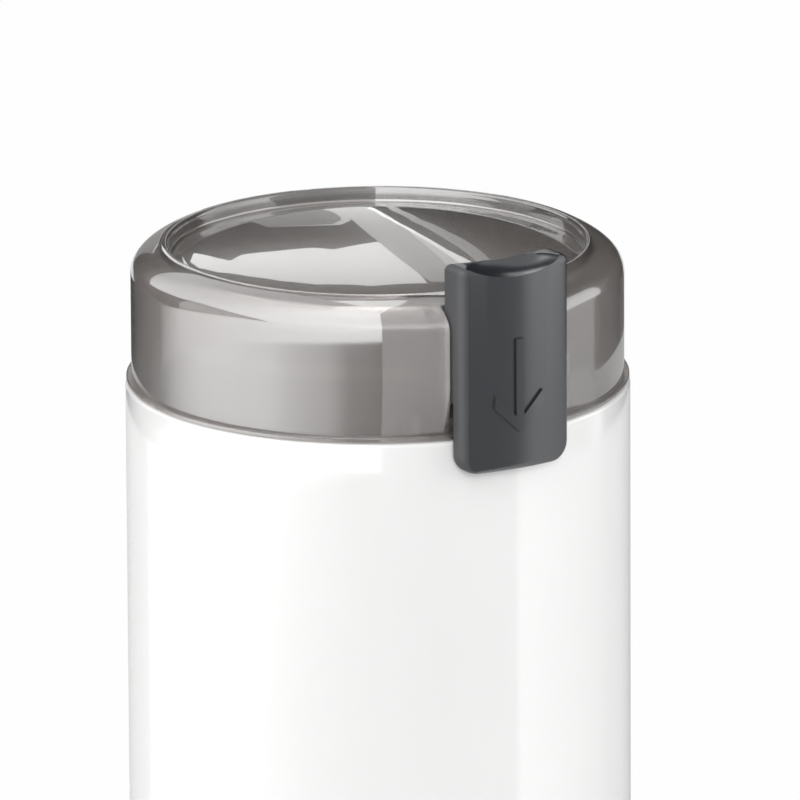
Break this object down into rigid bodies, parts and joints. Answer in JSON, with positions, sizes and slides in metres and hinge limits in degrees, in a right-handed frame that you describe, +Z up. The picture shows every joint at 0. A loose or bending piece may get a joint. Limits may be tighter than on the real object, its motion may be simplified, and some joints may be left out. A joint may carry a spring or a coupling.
{
  "type": "electric spice grinder",
  "caption": "Electric spice grinder: round white body with a motor and a steel bowl, and a smoked lift-off lid whose press button starts the blade.",
  "frame": {"origin": "on the table, on the body's axis, level with the undersides of the rubber feet", "axes": "+Z up along the body's axis; the button is on the -Y side and the cord inlet on the +Y side; +X to the right when the button faces the user"},
  "size_m": [0.084, 0.0908, 0.1677],
  "materials": {
    "white_shell": "glossy white moulded plastic",
    "white_inner": "plain white moulded plastic",
    "grey_inner": "grey moulded plastic",
    "smoked_clear": "smoked see-through plastic, glossy",
    "slate_plastic": "satin slate-grey plastic",
    "bowl_steel": "drawn stainless steel",
    "blade_steel": "ground stainless steel",
    "soft_seal": "milky silicone",
    "black_rubber": "matt black rubber",
    "zinc_steel": "zinc-plated steel",
    "cast_bracket": "die-cast",
    "bronze": "sintered bronze",
    "laminations": "stacked electrical steel",
    "copper": "enamelled copper, stands in for copper's density",
    "black_plastic": "black moulded plastic",
    "carbon": "pressed carbon",
    "capacitor_yellow": "yellow moulded case",
    "lead_insulation": "coloured lead insulation",
    "switch_red": "red moulded plastic"
  },
  "bodies": {
    "housing": {"outer_housing": "white_shell", "bowl_carrier": "grey_inner", "grinding_bowl": "bowl_steel", "bowl_gasket": "black_rubber", "shaft_seal": "black_rubber", "carrier_screws": "zinc_steel", "motor_top_bracket": "cast_bracket", "motor_bottom_bracket": "cast_bracket", "upper_bush": "bronze", "lower_bush": "bronze", "stator_core": "laminations", "field_coils": "copper", "brush_holders": "black_plastic", "carbon_brushes": "carbon", "brush_springs": "zinc_steel", "motor_bolts": "zinc_steel", "motor_dampers": "black_rubber", "switch_case": "black_plastic", "switch_bracket": "zinc_steel", "switch_screws": "zinc_steel", "suppression_capacitor": "capacitor_yellow", "terminal_block": "white_inner", "mains_leads": "lead_insulation", "switch_leads": "lead_insulation", "motor_leads": "lead_insulation", "brush_leads": "lead_insulation", "cord_gland": "black_rubber", "cord_clamp": "white_inner", "clamp_screws": "zinc_steel", "base_plate": "white_inner", "base_screws": "zinc_steel", "rubber_feet": "black_rubber"},
    "lid": {"lid_cover": "smoked_clear", "lid_seal": "soft_seal"},
    "button": {"button_cap": "slate_plastic", "button_plunger": "white_inner", "button_springs": "zinc_steel"},
    "switch_rod": {"switch_rod": "white_inner", "switch_plunger": "switch_red"},
    "rotor": {"grinding_blade": "blade_steel", "blade_collar": "white_inner", "blade_nut": "blade_steel", "motor_shaft": "zinc_steel", "armature_core": "laminations", "armature_winding": "copper", "commutator": "copper", "cooling_fan": "white_inner"}
  },
  "joints": [
    {"name": "lid_lift", "type": "slide", "parent": "housing", "child": "lid", "axis": [0, 0, 1], "range_m": [0, 0.06]},
    {"name": "button_press", "type": "slide", "parent": "lid", "child": "button", "axis": [0, 0, -1], "range_m": [0, 0.003], "stiffness_N_per_m": 400, "springref_m": -0.004, "deforming": ["button_springs"]},
    {"name": "switch_rod_slide", "type": "slide", "parent": "housing", "child": "switch_rod", "axis": [0, 0, -1], "range_m": [0, 0.003]},
    {"name": "rotor_spin", "type": "hinge", "parent": "housing", "child": "rotor", "pos_m": [0, 0, 0.06], "axis": [0, 0, 1], "continuous": true}
  ],
  "couplings": [
    {"joint": "switch_rod_slide", "follows": "button_press", "ratio": 1}
  ]
}
